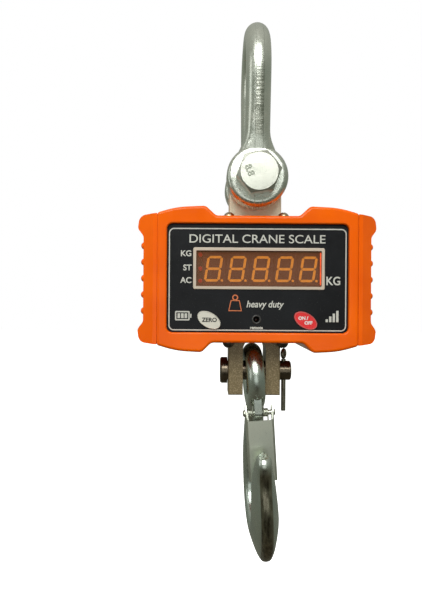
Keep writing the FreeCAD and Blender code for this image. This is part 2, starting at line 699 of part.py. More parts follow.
def ir_receiver():
    """Receiver for the remote control behind its hole in the panel."""
    z = MID_Z + IR_Z
    base = box((IR_X - 3, IR_X + 3), (FLOOR_Y + 2.5, BOARD_Y), (z - 3.5, z + 3.5))
    lens = Part.makeSphere(2.2, Vector(IR_X, FLOOR_Y + 2.5, z))
    return fused([base, lens])


def board_screws():
    """Screws of the display board and the main board."""
    screw = pan_screw(2.4, 1.5, 1.0, 5.0)
    front = [aimed(screw, (x, BOARD_Y + BOARD_T, MID_Z + z), (0, 1, 0)) for x, z in board_posts()]
    rear = [aimed(screw, (x, MAIN_Y, MID_Z + z), (0, -1, 0)) for x, z in main_posts()]
    return front + rear


def button(x):
    """Oval key with a slightly domed face and a flange that keeps it behind the panel."""
    face_y = PANEL_Y - 1.0
    key = oval(BUTTON_A, BUTTON_B, x, face_y, PANEL_Y + PANEL_T + 0.1)
    key = key.makeFillet(0.6, edges_on(key, "Y", face_y))
    flange = oval(BUTTON_A + 1.0, BUTTON_B + 1.0, x, PANEL_Y + PANEL_T + 0.1, PANEL_Y + PANEL_T + 1.1)
    back = PANEL_Y + PANEL_T + 1.0
    stem = rod((x, back, MID_Z + BUTTON_Z), "y", FLOOR_Y - 0.4 - back, 3.0)
    return fused([key, flange, stem])


# ------------------------------------------------------------------ rear electronics
def main_board():
    board = slab(rectangle(30, 71.5, -35, 35, 2.0), MAIN_Y, MAIN_Y + BOARD_T)
    for x, z in main_posts():
        board = board.cut(rod((x, MAIN_Y - 1, MID_Z + z), "y", BOARD_T + 2, 1.3))
    return board


def main_components():
    """Chips, capacitors and connectors on the front of the main board."""
    y = MAIN_Y
    parts = [box((46, 58), (y - 2.2, y), (MID_Z + 8, MID_Z + 20)),
             box((55, 65), (y - 2.0, y), (MID_Z - 12, MID_Z - 4)),
             box((34, 42), (y - 6.0, y), (MID_Z - 13, MID_Z - 3)),
             box((32, 38), (y - 6.0, y), (MID_Z - 26, MID_Z - 18)),
             box((41, 49), (y - 6.0, y), (MID_Z - 1, MID_Z + 5))]
    for z in (-20, -26):
        parts.append(rod((60, y - 9, MID_Z + z), "y", 9, 2.6))
    return parts


def battery_tray():
    """Open box behind the door that holds the battery."""
    outer = box((TRAY_X[0] - 1.5, TRAY_X[1] + 1.5), (5.0, BACK - WALL), (MID_Z - 37.5, MID_Z + 37.5))
    inner = box(TRAY_X, (6.5, BACK - WALL), (MID_Z - 36, MID_Z + 36))
    lead_slot = rod((-33, 24, MID_Z - 22), "x", 5, 2.2)
    return outer.cut(inner).cut(lead_slot)


def battery():
    """Flat rechargeable pack of two round cells in one wrap."""
    cells = []
    left = TRAY_X[0] + CELL_R + 0.3
    right = TRAY_X[1] - CELL_R - 0.3
    for x in (left, right):
        cells.append(rod((x, 17.0, MID_Z - 34), "z", 68, CELL_R))
    cells.append(box((left, right), (17.0 - CELL_R, 17.0 + CELL_R), (MID_Z - 34, MID_Z + 34)))
    return fused(cells)


def battery_pad():
    """Foam strip that presses the battery into its tray."""
    return box((-60, -41), (17.0 + CELL_R, BACK - 2.6), (MID_Z - 12, MID_Z + 12))


def battery_door():
    """Door of the battery tray, flush with the back, with a finger recess."""
    door = slab(rectangle(TRAY_X[0] + 0.2, TRAY_X[1] - 0.2, -35.8, 35.8, 2.8), BACK - 2.6, BACK)
    door = door.makeFillet(0.6, edges_on(door, "Y", BACK))
    for z in (-31, 31):
        door = door.cut(rod((DOOR_X, BACK - 3, MID_Z + z), "y", 4, 1.8))
    recess = rod((DOOR_X - 10, BACK + 3.2, MID_Z), "x", 20, 5.0)
    return door.cut(recess)


def door_screws():
    """Two screws that close the battery door."""
    screw = pan_screw(3.2, 2.0, 1.6, 6.0)
    return [aimed(screw, (DOOR_X, BACK, MID_Z + z), (0, 1, 0)) for z in (-31, 31)]


def charge_socket():
    """Round charging socket in the rear cover."""
    body = tube((50, 26, MID_Z - 30), "y", BACK - 26, 6.0, 2.8)
    flange = tube((50, BACK, MID_Z - 30), "y", 1.2, 7.8, 2.8)
    return fused([body, flange])


def socket_cap():
    """Rubber plug of the charging socket."""
    cap = rod((50, BACK + 1.2, MID_Z - 30), "y", 1.8, 8.2)
    cap = cap.makeFillet(0.6, edges_on(cap, "Y", BACK + 3.0))
    return fused([cap, rod((50, BACK - 6, MID_Z - 30), "y", 7.3, 2.6)])


def rating_plate():
    """Blank metal plate on the back."""
    return slab(rectangle(29, 67, -2, 28, 2.0), BACK, BACK + 0.5)


def sensor_lead():
    """Lead from the gauge pocket to the main board."""
    z = MID_Z - 8
    return pipe([(BLOCK_X - 3, -7.5, z), (38, -7.5, z), (38, MAIN_Y - 6, z)], 1.6, 8.0)


def battery_lead():
    """Lead from the battery tray behind the block to the main board."""
    z = MID_Z - 22
    return pipe([(-33, 24, z), (12, 24, z), (22, 17, z), (32, 17, z)], 1.7, 12.0)


def display_lead():
    """Lead between the display board and the main board."""
    start = BOARD_Y + BOARD_T + 5.0
    stops = [(45, start, MID_Z), (45, -6, MID_Z), (45, 4, MID_Z + 2), (45, MAIN_Y - 6, MID_Z + 2)]
    return pipe(stops, 2.0, 10.0)


# ------------------------------------------------------------------ hook
def hook_pin():
    """Headed pin through the fork, drilled for the split pin."""
    head = rod((-27.6, 0, PIN_Z), "x", 5.9, 10.8)
    head = head.makeFillet(1.8, edges_on(head, "X", -27.6))
    shank = rod((-23.5, 0, PIN_Z), "x", 54.5, PIN_R)
    shank = shank.makeChamfer(0.8, edges_on(shank, "X", 31.0))
    return fused([head, shank]).cut(rod((25.4, 0, PIN_Z - 12), "z", 24, 2.15))


def split_pin():
    """Two half-round prongs with a loop on top, hanging through the pin."""
    prong_r = 1.9
    prongs = rod((0, 0, PIN_Z - 33.6), "z", 43.0, prong_r)
    prongs = prongs.cut(box((-0.12, 0.12), (-3, 3), (PIN_Z - 34, PIN_Z - 9)))
    loop_z = PIN_Z + 13.9
    loop = Part.makeTorus(3.0, 1.45, Vector(0, 0, loop_z), Vector(0, 1, 0))
    loop.rotate(Vector(0, 0, 0), Vector(0, 0, 1), 62)
    pin = fused([prongs, loop])
    pin.translate(Vector(25.4, 0, 0))
    return pin


def hook_stations():
    """Centre, tilt of the outward direction, depth, inner and outer half widths and squareness."""
    stations = [(-44.6, -324.6, -68, 9.0, 3.9, 3.5, 2.0),
                (-43.9, -327.6, -70, 14.0, 5.9, 5.2, 2.3),
                (-41.5, -335.0, -74, 17.5, 7.8, 5.4, 2.8),
                (-38.4, -347.0, -82, 20.5, 10.6, 5.3, 3.2)]
    for turn, depth, inner, outer in BOWL_SECTIONS:
        out = BOWL_R + depth / 2
        angle = math.radians(turn)
        y = BOWL_Y - out * math.cos(angle)
        z = BOWL_Z - out * math.sin(angle)
        stations.append((y, z, turn - 90, depth, inner, outer, 3.4))
    stations += [(29.4, -344.0, 105, 23.6, 11.4, 8.2, 3.0),
                 (21.4, -323.0, 116, 20.6, 9.8, 7.8, 2.7),
                 (10.5, -306.0, 121, 18.5, 8.4, 7.4, 2.4),
                 (1.5, -293.0, 108, 15.5, 7.2, 7.0, 2.2)]
    return stations


def hung(shape):
    """A piece of the hook, leant and turned about the middle of the eye."""
    middle = Vector(0, 0, EYE_Z)
    moved = shape.copy()
    moved.rotate(middle, AXES["z"], HOOK_TURN)
    moved.rotate(middle, AXES["y"], -HOOK_LEAN)
    moved.translate(Vector(HOOK_SHIFT, 0, 0))
    return moved


def hook():
    """Forged eye hook: round eye on the pin, tapered bowl, nose to the front, lug for the latch rivet."""
    wires = []
    for y, z, tilt, depth, inner, outer, power in hook_stations():
        angle = math.radians(tilt)
        outward = Vector(0, math.sin(angle), -math.cos(angle))
        wires.append(section(Vector(0, y, z), outward, depth, inner, outer, power))
    arm = Part.makeLoft(wires, True, False)
    eye = Part.makeTorus(EYE_R, EYE_TUBE, Vector(0, 0, EYE_Z), Vector(1, 0, 0))
    lug = rod((-LUG_X, RIVET_Y, RIVET_Z), "x", 2 * LUG_X, LUG_R)
    fin = [Vector(-LUG_X, RIVET_Y - LUG_R, RIVET_Z), Vector(-LUG_X, RIVET_Y - LUG_R, RIVET_Z + 14),
           Vector(-LUG_X, -5, RIVET_Z + 6), Vector(-LUG_X, -3, RIVET_Z - 10),
           Vector(-LUG_X, RIVET_Y, RIVET_Z - LUG_R)]
    web = Part.Face(Part.makePolygon(fin + fin[:1])).extrude(Vector(2 * LUG_X, 0, 0))
    body = fused([arm, eye, lug, web])
    return hung(body.cut(rod((-20, RIVET_Y, RIVET_Z), "x", 40, RIVET_R + 0.06)))


def latch_outline():
    """Side view of the latch over its whole width: plate at the front, ears above the pivot."""
    outline = [Vector(0, LATCH_TOP_Y, LATCH_TOP + 0.5), Vector(0, RIVET_Y - 4.6, RIVET_Z + 2.0),
               Vector(0, RIVET_Y - 2.2, RIVET_Z + 7.2), Vector(0, RIVET_Y + 1.4, RIVET_Z + 5.2),
               Vector(0, RIVET_Y + 4.4, RIVET_Z + 0.5), Vector(0, RIVET_Y + 3.0, RIVET_Z - 5.0),
               Vector(0, LATCH_TOP_Y + 6.5, LATCH_TOP - 16), Vector(0, LATCH_FOOT_Y + 3.4, LATCH_FOOT),
               Vector(0, LATCH_FOOT_Y, LATCH_FOOT)]
    side = Part.Face(Part.makePolygon(outline + outline[:1]))
    side.translate(Vector(-LATCH_X - 1, 0, 0))
    return side.extrude(Vector(2 * LATCH_X + 2, 0, 0))


def latch():
    """Latch bent from sheet: a front plate between two flanges, with round bends."""
    depth = 16.0
    inner = LATCH_X - LATCH_T
    bends = [(-LATCH_X, depth, 0), (-LATCH_X, 0, LATCH_BEND), (LATCH_X, 0, LATCH_BEND), (LATCH_X, depth, 0),
             (inner, depth, 0), (inner, LATCH_T, LATCH_BEND - LATCH_T),
             (-inner, LATCH_T, LATCH_BEND - LATCH_T), (-inner, depth, 0)]
    channel = Part.Face(rounded_wire(bends, 0))
    channel.rotate(Vector(0, 0, 0), AXES["x"], -90)
    channel.translate(Vector(0, LATCH_FOOT_Y, LATCH_FOOT))
    slope = Vector(0, LATCH_TOP_Y - LATCH_FOOT_Y, LATCH_TOP - LATCH_FOOT)
    body = channel.extrude(slope * 1.4).common(latch_outline())
    flat = LATCH_X - LATCH_BEND
    body = body.cut(box((-flat, flat), (LATCH_FOOT_Y - 2, RIVET_Y + 10), (LATCH_TOP, LATCH_TOP + 30)))
    body = body.cut(rod((-20, RIVET_Y, RIVET_Z), "x", 40, RIVET_R))
    body.translate(Vector(LATCH_SHIFT, 0, 0))
    return hung(body)


def latch_rivet():
    """Rivet with a round head at each end, through the latch and the hook's lug."""
    head_r = 2.7
    head_h = 1.7
    pieces = [rod((-LATCH_X - head_h / 2, RIVET_Y, RIVET_Z), "x", 2 * LATCH_X + head_h, RIVET_R)]
    for side in (-1, 1):
        crown = side * (LATCH_X + 0.05 + head_h)
        seat = side * (LATCH_X + 0.05)
        head = rod((min(crown, seat), RIVET_Y, RIVET_Z), "x", head_h, head_r)
        pieces.append(head.makeFillet(1.4, edges_on(head, "X", crown)))
    rivet = fused(pieces)
    rivet.translate(Vector(LATCH_SHIFT, 0, 0))
    return hung(rivet)


def latch_spring():
    """Two wire coils around the rivet, each with a leg down the latch and a leg up against the hook."""
    wire_r = 0.55
    coil_r = RIVET_R + 0.25 + wire_r
    springs = []
    for side in (-1, 1):
        rings = []
        for number in range(4):
            x = side * (LUG_X + 1.3 + number * 1.15)
            rings.append(Part.makeTorus(coil_r, wire_r + 0.08, Vector(x, RIVET_Y, RIVET_Z), Vector(1, 0, 0)))
        down_x = side * (LUG_X + 1.3 + 3 * 1.15)
        down = Part.makeCylinder(wire_r, 22, Vector(down_x, RIVET_Y - coil_r, RIVET_Z),
                                 Vector(0, LATCH_FOOT_Y - LATCH_TOP_Y, LATCH_FOOT - LATCH_TOP))
        rings.append(down)
        up_x = side * (LUG_X + 1.3)
        rings.append(Part.makeCylinder(wire_r, 6.0, Vector(up_x, RIVET_Y - coil_r, RIVET_Z), Vector(0, 0, 1)))
        springs.append(hung(fused(rings)))
    return springs


# ------------------------------------------------------------------ all nodes
NODES = {
    "shackle_bow": shackle_bow,
    "shackle_bolt": shackle_bolt,
    "shackle_washer": shackle_washer,
    "shackle_nut": shackle_nut,
    "shackle_cotter": shackle_cotter,
    "load_cell": load_cell,
    "strain_gauges": strain_gauges,
    "gauge_covers": gauge_covers,
    "front_cover": front_cover,
    "rear_cover": rear_cover,
    "cover_gasket": cover_gasket,
    "cover_screws": cover_screws,
    "left_grip": lambda: grip(-1),
    "right_grip": lambda: grip(1),
    "grip_screws": grip_screws,
    "block_seals": block_seals,
    "front_bracket": lambda: bracket(-1),
    "rear_bracket": lambda: bracket(1),
    "bracket_screws": bracket_screws,
    "top_screws": lambda: wall_screws(1),
    "bottom_screws": lambda: wall_screws(-1),
    "wall_washers": wall_washers,
    "face_panel": face_panel,
    "display_bezel": display_bezel,
    "display_window": display_window,
    "digit_modules": digit_modules,
    "indicator_leds": indicator_leds,
    "display_board": display_board,
    "display_components": display_components,
    "button_switches": button_switches,
    "ir_receiver": ir_receiver,
    "board_screws": board_screws,
    "zero_button": lambda: button(-BUTTON_X),
    "power_button": lambda: button(BUTTON_X),
    "main_board": main_board,
    "main_components": main_components,
    "battery_tray": battery_tray,
    "battery": battery,
    "battery_pad": battery_pad,
    "battery_door": battery_door,
    "door_screws": door_screws,
    "charge_socket": charge_socket,
    "socket_cap": socket_cap,
    "rating_plate": rating_plate,
    "sensor_lead": sensor_lead,
    "battery_lead": battery_lead,
    "display_lead": display_lead,
    "hook_pin": hook_pin,
    "split_pin": split_pin,
    "hook": hook,
    "latch": latch,
    "latch_rivet": latch_rivet,
    "latch_spring": latch_spring,
}


def main():
    os.makedirs("parts", exist_ok=True)
    for name, make in NODES.items():
        shape = make()
        if isinstance(shape, list):
            shape = Part.Compound(shape)
        solids = shape.Solids
        if len(solids) > 1:
            shape = Part.Compound(solids)
        else:
            shape = solids[0]
        shape.exportStep("parts/" + name + ".step")
        print(name, len(solids), shape.isValid(), round(shape.Volume, 1))


main()
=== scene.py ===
"""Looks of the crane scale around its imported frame.  Metres, +Z up, the display faces -Y."""

import math

import bmesh
import bpy
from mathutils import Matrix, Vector


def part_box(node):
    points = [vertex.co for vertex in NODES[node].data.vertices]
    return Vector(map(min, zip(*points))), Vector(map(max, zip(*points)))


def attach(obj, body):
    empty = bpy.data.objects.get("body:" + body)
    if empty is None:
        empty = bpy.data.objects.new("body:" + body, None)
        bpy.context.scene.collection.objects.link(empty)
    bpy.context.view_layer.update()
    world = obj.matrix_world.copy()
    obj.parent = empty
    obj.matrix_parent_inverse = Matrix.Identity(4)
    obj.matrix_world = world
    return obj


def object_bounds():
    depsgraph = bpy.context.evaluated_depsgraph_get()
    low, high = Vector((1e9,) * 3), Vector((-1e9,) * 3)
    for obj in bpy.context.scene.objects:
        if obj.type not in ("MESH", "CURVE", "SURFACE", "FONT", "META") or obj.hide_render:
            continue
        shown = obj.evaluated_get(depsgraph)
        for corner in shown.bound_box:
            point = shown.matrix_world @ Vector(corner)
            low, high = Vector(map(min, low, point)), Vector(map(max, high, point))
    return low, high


MM = 0.001

# ---- camera: level with the middle of the housing, a little to the left of it, close in front
CAMERA_X = -35.5 * MM
CAMERA_Y = -440.0 * MM
CAMERA_DROP = 16.0 * MM        # below the middle of the housing
CAMERA_ROLL = -0.4             # degrees
CAMERA_LENS = 31.6
SENSOR_WIDTH = 36.0

# ---- floor and room
FLOOR_GAP = 0.30               # below the hook
FLOOR_HALF = 8.0
FLOOR_COLOR = (0.74, 0.74, 0.73)
FLOOR_DIM = (0.05, 0.25)       # distance from the object, and the floor's own light there
FLOOR_WHITE = (0.44, 1.0)
WHITE = (1.0, 1.0, 1.0)
ROOM_BELOW = (0.10, 0.085, 0.06)
ROOM_AROUND = (0.22, 0.24, 0.20)
ROOM_ABOVE = (0.50, 0.50, 0.46)
ROOM_FRONT = (0.045, 0.040, 0.028)
FRONT_SPAN = (-0.55, -0.90)    # Y part of a direction, from beside the object to straight in front
LOW_SPAN = (-0.20, -0.42)      # Z part of a direction, from a little to well below level
SOFT_BOXES = (
    # name, X, Y, height above the camera, width, height, watts, whether it shows in reflections
    ("box_front", -0.20, -1.15, 0.92, 1.20, 0.85, 20.0, True),
    ("box_fill", -0.10, -1.30, -0.10, 1.00, 0.45, 1.1, True),
    ("box_left", -1.30, -0.30, 0.30, 0.40, 1.00, 1.2, True),
    ("box_right", 1.30, -0.30, 0.30, 0.40, 1.00, 1.4, False),
    ("box_back", 0.30, 1.30, 0.90, 1.00, 0.70, 16.0, False),
)

# ---- colours, linear
ORANGE = (0.94, 0.138, 0.0)
ORANGE_DEEP = (0.82, 0.104, 0.0)
ZINC = (0.72, 0.74, 0.66)
ZINC_COOL = (0.60, 0.65, 0.58)
# painted reflection in the die-marked strip on the bow's front leg
STRIP_REFLECTION_LIGHT = (0.62, 0.64, 0.56)
STRIP_REFLECTION_DARK = (0.34, 0.36, 0.30)
# painted dark reflection on the ridge down the hook's front
RIDGE_REFLECTION_LIGHT = (0.29, 0.275, 0.205)
RIDGE_REFLECTION_DARK = (0.085, 0.074, 0.052)
HOOK_ZINC = (0.60, 0.65, 0.58)
HOOK_ZINC_COOL = (0.50, 0.57, 0.53)
BOLT_ZINC = (0.62, 0.63, 0.56)
BOLT_ZINC_COOL = (0.52, 0.54, 0.47)
SHEET_ZINC = (0.58, 0.60, 0.51)
SHEET_ZINC_COOL = (0.54, 0.57, 0.49)
# painted shade on the bolt's raised grade, darker than the head so that it shows
MARK_ZINC_SHADED = (0.34, 0.36, 0.30)
MARK_ZINC_COOL_SHADED = (0.26, 0.28, 0.23)
STEEL_PIN = (0.17, 0.14, 0.10)
STEEL_WIRE = (0.30, 0.28, 0.22)
STEEL_SCREW = (0.52, 0.40, 0.26)
STEEL_BLACK = (0.10, 0.09, 0.075)
STEEL_PLATE = (0.62, 0.62, 0.60)
# painted light and painted shade: the block's paint in lit colours above and shaded colours below
PAINT_LIT = (0.68, 0.67, 0.50)
PAINT_PALE_LIT = (0.80, 0.78, 0.64)
PAINT_SHADED = (0.20, 0.150, 0.072)
PAINT_PALE_SHADED = (0.42, 0.33, 0.19)
CHIPPED = (0.09, 0.07, 0.045)
PANEL_BLACK = (0.0050, 0.0054, 0.0066)
PANEL_HAZE = (0.010, 0.011, 0.013)
PANEL_DUST = (0.09, 0.09, 0.09)
PRINT = (0.60, 0.60, 0.54)
CREAM = (0.66, 0.64, 0.55)
BEZEL = (0.58, 0.49, 0.39)
RED = (0.75, 0.018, 0.022)
SMOKE = (0.26, 0.095, 0.040)
AMBER = (1.0, 0.36, 0.03)
MODULE = (0.15, 0.062, 0.030)
BOARD_GREEN = (0.012, 0.12, 0.045)
TRACK_GREEN = (0.03, 0.20, 0.08)
BLACK = (0.012, 0.012, 0.012)
RUBBER = (0.010, 0.010, 0.010)
BATTERY_BLUE = (0.02, 0.06, 0.25)
GAUGE_BROWN = (0.5, 0.26, 0.06)
LAMP_RED = (0.80, 0.012, 0.008)
LIT_EDGE = (0.90, 0.10, 0.02)
MARK_ORANGE = (0.60, 0.16, 0.05)
RECEIVER_DARK = (0.045, 0.045, 0.043)
KEY_RIM_RED = (0.62, 0.13, 0.12)
INK_DARK = (0.018, 0.016, 0.012)
INK_WHITE = (0.75, 0.72, 0.70)

PAINT_SHADE_FADE = 20 * MM           # painted shade below, painted light above the housing's middle, blended over this
CAPITAL = 0.70                 # height of a capital as a share of the font's size

# ---- strip with die marks on the bow's front leg, in painted reflection; a pair is start then full
STRIP_X = 0.6 * MM
STRIP_SIDE = (3.25 * MM, 2.9 * MM)
STRIP_FRONT = (-20 * MM, -26 * MM)
STRIP_FOOT = (-84 * MM, -78 * MM)
STRIP_HEAD = (-24 * MM, -40 * MM)

# ---- painted dark reflection on the hook's front ridge, heights from the hook's lowest point
RIDGE_LOW = 8 * MM
RIDGE_HIGH = 62 * MM
RIDGE_TIP = 90 * MM
RIDGE_TIP_FADE = 10 * MM
RIDGE_SIDE = (4.9 * MM, 4.2 * MM)
RIDGE_FRONT = (-12 * MM, -17 * MM)
RIDGE_SLICE = 5 * MM
RIDGE_CREST = 0.4 * MM

# ---- print on the panel
INK_RISE = 0.05 * MM           # how far the print stands out of the face, and reaches into it
BORDER_EDGE = 1.25 * MM
BORDER_TOP = 3.2 * MM
BORDER_LINE = 0.85 * MM
BORDER_R = 4.0 * MM
BORDER_INNER_R = 3.2 * MM
TITLE_SIZE = (104 * MM, 6.4 * MM)
UNIT_SIZE = (10.6 * MM, 6.3 * MM)
WORD_SIZE = (28 * MM, 5.0 * MM)
LABEL_HEIGHT = 4.3 * MM
REMOTE_HEIGHT = 2.3 * MM
ZERO_HEIGHT = 3.1 * MM
POWER_HEIGHT = 2.4 * MM
GRADE_HEIGHT = 5.0 * MM
RECEIVER_R = 3.5 * MM
RECEIVER_HOLE_R = 2.45 * MM

# ---- display
DIGITS = 5
MODULE_WIDTH = 18.0 * MM
DIGIT_HALF_W = 5.15 * MM
DIGIT_HALF_H = 9.0 * MM
DIGIT_BAR = 0.95 * MM          # half the width of a bar, and the radius of a point
DIGIT_GAP = 0.22 * MM
DIGIT_SLANT = math.tan(math.radians(8.5))
DIGIT_FRONT = 0.06 * MM
DIGIT_BACK = 0.02 * MM

# ---- keys and bolt
KEY_RIM = (9.5 * MM, 5.6 * MM)
KEY_FACE = (8.9 * MM, 5.0 * MM)
KEY_TILT = 30
GRADE_TURN = 68

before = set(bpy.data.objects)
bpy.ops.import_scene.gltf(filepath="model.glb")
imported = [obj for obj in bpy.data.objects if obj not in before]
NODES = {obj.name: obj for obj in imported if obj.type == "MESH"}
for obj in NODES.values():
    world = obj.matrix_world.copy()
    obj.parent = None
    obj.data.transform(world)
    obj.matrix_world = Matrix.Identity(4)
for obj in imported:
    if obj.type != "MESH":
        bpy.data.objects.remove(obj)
CAD_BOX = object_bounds()


def darker(color, share):
    return tuple(channel * share for channel in color)


# ------------------------------------------------------------------ material tools
class Tree:
    """A node tree with short calls for the nodes that the looks need."""

    def __init__(self, tree):
        self.tree = tree

    def node(self, kind, **values):
        made = self.tree.nodes.new(kind)
        for key, value in values.items():
            setattr(made, key, value)
        return made

    def link(self, output, socket):
        self.tree.links.new(output, socket)

    def part(self, vector, axis):
        """One part, "X", "Y" or "Z", of a vector."""
        split = self.node("ShaderNodeSeparateXYZ")
        self.link(vector, split.inputs["Vector"])
        return split.outputs[axis]

    def ranged(self, value, low, high, out_low=0.0, out_high=1.0):
        """Value moved from low..high to out_low..out_high, and held there."""
        made = self.node("ShaderNodeMapRange")
        self.link(value, made.inputs["Value"])
        limits = {"From Min": low, "From Max": high, "To Min": out_low, "To Max": out_high}
        for name, number in limits.items():
            made.inputs[name].default_value = number
        return made.outputs["Result"]

    def maths(self, operation, first, second=0.0):
        made = self.node("ShaderNodeMath", operation=operation)
        for socket, value in zip(made.inputs, (first, second)):
            if isinstance(value, float):
                socket.default_value = value
            else:
                self.link(value, socket)
        return made.outputs["Value"]

    def product(self, first, *others):
        for other in others:
            first = self.maths("MULTIPLY", first, other)
        return first

    def mixed(self, factor, first, second):
        """Colour between first and second, each a colour or another node's output."""
        made = self.node("ShaderNodeMix", data_type="RGBA")
        self.link(factor, made.inputs["Factor"])
        colours = [socket for socket in made.inputs if socket.type == "RGBA"]
        for socket, value in zip(colours, (first, second)):
            if isinstance(value, tuple):
                socket.default_value = (*value, 1.0)
            else:
                self.link(value, socket)
        return [socket for socket in made.outputs if socket.type == "RGBA"][0]


class Shade(Tree):
    """A material with its main shader, object coordinates and layers of relief."""

    def __init__(self, name, color, roughness, metallic=0.0, **sockets):
        self.material = bpy.data.materials.new(name)
        self.material.use_nodes = True
        super().__init__(self.material.node_tree)
        self.shader = self.tree.nodes["Principled BSDF"]
        self.set("Base Color", (*color, 1.0))
        self.set("Roughness", roughness)
        self.set("Metallic", metallic)
        for socket, value in sockets.items():
            self.set(socket.replace("_", " "), value)
        self.place = self.node("ShaderNodeTexCoord").outputs["Object"]
        self.relief = None

    def set(self, socket, value):
        self.shader.inputs[socket].default_value = value

    def along(self, axis):
        return self.part(self.place, axis)

    def stretched(self, scale):
        """Object coordinates scaled differently along each axis."""
        mapping = self.node("ShaderNodeMapping")
        mapping.inputs["Scale"].default_value = scale
        self.link(self.place, mapping.inputs["Vector"])
        return mapping.outputs["Vector"]

    def noise(self, scale, detail=3.0, distortion=0.0, place=None):
        made = self.node("ShaderNodeTexNoise")
        made.inputs["Scale"].default_value = scale
        made.inputs["Detail"].default_value = detail
        made.inputs["Distortion"].default_value = distortion
        self.link(place or self.place, made.inputs["Vector"])
        return made.outputs["Fac"]

    def cells(self, scale, feature="F1"):
        made = self.node("ShaderNodeTexVoronoi", feature=feature)
        made.inputs["Scale"].default_value = scale
        self.link(self.place, made.inputs["Vector"])
        return made.outputs["Distance"]

    def color(self, output):
        self.link(output, self.shader.inputs["Base Color"])

    def rough(self, output):
        self.link(output, self.shader.inputs["Roughness"])

    def repaint(self, mask, color):
        """Lay another colour over the present one where mask is 1."""
        present = self.shader.inputs["Base Color"].links[0].from_socket
        self.color(self.mixed(mask, present, color))

    def bump(self, height, strength, distance):
        """Add one more layer of relief, distance in metres."""
        made = self.node("ShaderNodeBump")
        made.inputs["Strength"].default_value = strength
        made.inputs["Distance"].default_value = distance
        self.link(height, made.inputs["Height"])
        if self.relief is not None:
            self.link(self.relief, made.inputs["Normal"])
        self.relief = made.outputs["Normal"]
        self.link(self.relief, self.shader.inputs["Normal"])

    def edges(self, radius):
        """1 on worn edges and 0 on flat faces, from the rounding that a bevel would give."""
        bevel = self.node("ShaderNodeBevel", samples=6)
        bevel.inputs["Radius"].default_value = radius
        shape = self.node("ShaderNodeNewGeometry")
        dot = self.node("ShaderNodeVectorMath", operation="DOT_PRODUCT")
        self.link(bevel.outputs["Normal"], dot.inputs[0])
        self.link(shape.outputs["Normal"], dot.inputs[1])
        return self.ranged(dot.outputs["Value"], 0.99, 0.90)


# ------------------------------------------------------------------ materials
def orange_plastic():
    """Glossy moulded plastic with a slight cloudiness and smears in the gloss."""
    shade = Shade("orange_plastic", ORANGE, 0.3, Specular_IOR_Level=0.22)
    cloud = shade.noise(30.0, 2.0)
    shade.color(shade.mixed(shade.ranged(cloud, 0.3, 0.75), ORANGE, ORANGE_DEEP))
    smears = shade.noise(90.0, 5.0, 0.6)
    shade.rough(shade.ranged(smears, 0.3, 0.8, 0.13, 0.26))
    shade.bump(shade.noise(2600.0, 2.0), 0.10, 0.00008)
    shade.bump(shade.noise(120.0, 1.0), 0.10, 0.0004)
    return shade.material


def zinc(name, color=ZINC, cool=ZINC_COOL, roughness=(0.22, 0.36), grain=1.0):
    """Bright zinc plating: fine grain, soft dents, scuffs and dull patches.  Gives the Shade."""
    shade = Shade(name, color, 0.3, 1.0)
    patches = shade.noise(38.0, 5.0, 0.5)
    tinted = shade.mixed(shade.ranged(patches, 0.35, 0.68), color, cool)
    specks = shade.ranged(shade.noise(1300.0, 3.0), 0.58, 0.74, 0.0, 0.5)
    shade.color(shade.mixed(specks, tinted, darker(cool, 0.55)))
    shade.rough(shade.ranged(shade.noise(320.0, 5.0), 0.3, 0.75, *roughness))
    shade.bump(shade.noise(55.0, 2.0), 0.20 * grain, 0.0010)
    shade.bump(shade.noise(380.0, 4.0, 0.3), 0.13 * grain, 0.0003)
    shade.bump(shade.noise(1700.0, 3.0), 0.16 * grain, 0.00012)
    return shade


def forged_bow():
    """The bow's plating, with a flattened strip of die marks down the leg's front, in painted
    reflection.
    """
    shade = zinc("zinc_forged")
    side = shade.maths("ABSOLUTE", shade.maths("SUBTRACT", shade.along("X"), STRIP_X))
    front = shade.ranged(shade.along("Y"), *STRIP_FRONT)
    front_strip = shade.product(shade.ranged(side, *STRIP_SIDE), front)
    foot = shade.ranged(shade.along("Z"), *STRIP_FOOT)
    head = shade.ranged(shade.along("Z"), *STRIP_HEAD)
    mask = shade.product(front_strip, foot, head)
    marks = shade.noise(1.0, 2.0, 0.1, shade.stretched((40, 40, 780)))
    # painted reflection: the strip is darker than the zinc around it, in light and dark bands along
    # real die marks
    shade.repaint(mask, shade.mixed(shade.ranged(marks, 0.35, 0.65), STRIP_REFLECTION_LIGHT, STRIP_REFLECTION_DARK))
    shade.bump(shade.product(marks, mask), 0.6, 0.0004)
    shade.bump(front_strip, 0.5, 0.0005)
    return shade.material


def ridge_line(points, low, high):
    """X of the front ridge at the height low, and how far it moves in X per metre of height."""
    ends = []
    for level in (low, high):
        near = [point for point in points if abs(point.z - level) < RIDGE_SLICE]
        front = min(point.y for point in near)
        crest = [point.x for point in near if point.y < front + RIDGE_CREST]
        ends.append(sum(crest) / len(crest))
    return ends[0], (ends[1] - ends[0]) / (high - low)


